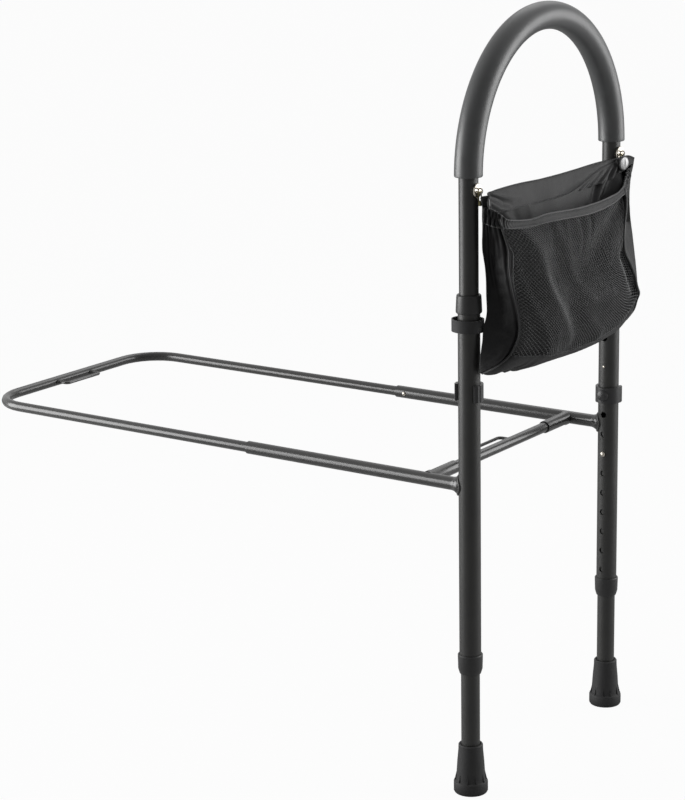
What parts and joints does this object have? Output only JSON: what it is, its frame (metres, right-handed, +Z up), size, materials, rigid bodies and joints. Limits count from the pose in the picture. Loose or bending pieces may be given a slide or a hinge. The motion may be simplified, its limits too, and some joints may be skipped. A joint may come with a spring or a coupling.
{
  "type": "bed assist rail",
  "caption": "Arched bed assist rail on telescoping legs, with a foam grip, a hanging mesh pouch and a tubular base frame that slides under a mattress.",
  "frame": {"origin": "under the middle of the base frame along X, half way along its length, level with the lower side of its tubes, where the bed carries it", "axes": "+X from the left post to the right post, +Y along the base frame under the mattress, away from the handle, +Z up along the posts"},
  "size_m": [0.3676, 0.8258, 0.9095],
  "materials": {
    "frame_steel": "satin powder coat",
    "base_steel": "semi-gloss powder coat",
    "spring_steel": "nickel plated",
    "washer_steel": "zinc plated",
    "collar_plastic": "satin",
    "clip_plastic": "semi-gloss",
    "foot_rubber": "matte",
    "grip_foam": "matte closed-cell foam",
    "pouch_nylon": "nylon cloth with mesh",
    "strap_webbing": "woven webbing",
    "pouch_hardware": "nickel plated"
  },
  "bodies": {
    "frame": {"left_upright": "frame_steel", "right_upright": "frame_steel", "left_top_collar": "collar_plastic", "right_top_collar": "collar_plastic", "left_bottom_collar": "collar_plastic", "right_bottom_collar": "collar_plastic", "left_base_arm": "frame_steel", "right_base_arm": "frame_steel", "crossbar": "base_steel", "crossbar_strap_loop": "base_steel"},
    "handle": {"handle_tube": "frame_steel", "foam_grip": "grip_foam", "pouch": "pouch_nylon", "left_pouch_eye": "pouch_hardware", "right_pouch_eye": "pouch_hardware", "left_pouch_link": "pouch_hardware", "right_pouch_link": "pouch_hardware", "left_pouch_stud": "pouch_hardware", "right_pouch_stud": "pouch_hardware", "left_pouch_strap": "strap_webbing", "right_pouch_strap": "strap_webbing"},
    "end_frame": {"end_frame": "base_steel", "end_frame_strap_loop": "base_steel"},
    "left_leg": {"left_leg_tube": "frame_steel", "left_foot": "foot_rubber", "left_foot_washer": "washer_steel"},
    "left_leg_button": {"left_leg_snap_clip": "spring_steel"},
    "left_frame_button": {"left_frame_snap_clip": "spring_steel"},
    "left_lock_clip": {"left_lock_clip": "clip_plastic"},
    "right_leg": {"right_leg_tube": "frame_steel", "right_foot": "foot_rubber", "right_foot_washer": "washer_steel"},
    "right_leg_button": {"right_leg_snap_clip": "spring_steel"},
    "right_frame_button": {"right_frame_snap_clip": "spring_steel"},
    "right_lock_clip": {"right_lock_clip": "clip_plastic"}
  },
  "joints": [
    {"name": "handle_slide", "type": "slide", "parent": "frame", "child": "handle", "axis": [0, 0, 1], "range_m": [0, 0.0724]},
    {"name": "end_frame_slide", "type": "slide", "parent": "frame", "child": "end_frame", "axis": [0, 1, 0], "range_m": [0, 0.05], "deforming": ["left_frame_snap_clip", "right_frame_snap_clip"]},
    {"name": "left_leg_slide", "type": "slide", "parent": "frame", "child": "left_leg", "axis": [0, 0, -1], "range_m": [-0.0254, 0.1524], "deforming": ["left_leg_snap_clip"]},
    {"name": "left_leg_button_press", "type": "slide", "parent": "left_leg", "child": "left_leg_button", "axis": [-1, 0, 0], "range_m": [0, 0.0035], "stiffness_N_per_m": 3000, "springref_m": -0.001, "deforming": ["left_leg_snap_clip"]},
    {"name": "left_frame_button_press", "type": "slide", "parent": "end_frame", "child": "left_frame_button", "axis": [-1, 0, 0], "range_m": [0, 0.0032], "stiffness_N_per_m": 3000, "springref_m": -0.001, "deforming": ["left_frame_snap_clip"]},
    {"name": "left_lock_clip_pull", "type": "slide", "parent": "frame", "child": "left_lock_clip", "axis": [1, 0, 0], "range_m": [0, 0.03], "deforming": ["left_lock_clip"]},
    {"name": "right_leg_slide", "type": "slide", "parent": "frame", "child": "right_leg", "axis": [0, 0, -1], "range_m": [-0.0254, 0.1524], "deforming": ["right_leg_snap_clip"]},
    {"name": "right_leg_button_press", "type": "slide", "parent": "right_leg", "child": "right_leg_button", "axis": [1, 0, 0], "range_m": [0, 0.0035], "stiffness_N_per_m": 3000, "springref_m": -0.001, "deforming": ["right_leg_snap_clip"]},
    {"name": "right_frame_button_press", "type": "slide", "parent": "end_frame", "child": "right_frame_button", "axis": [1, 0, 0], "range_m": [0, 0.0032], "stiffness_N_per_m": 3000, "springref_m": -0.001, "deforming": ["right_frame_snap_clip"]},
    {"name": "right_lock_clip_pull", "type": "slide", "parent": "frame", "child": "right_lock_clip", "axis": [-1, 0, 0], "range_m": [0, 0.03], "deforming": ["right_lock_clip"]}
  ]
}
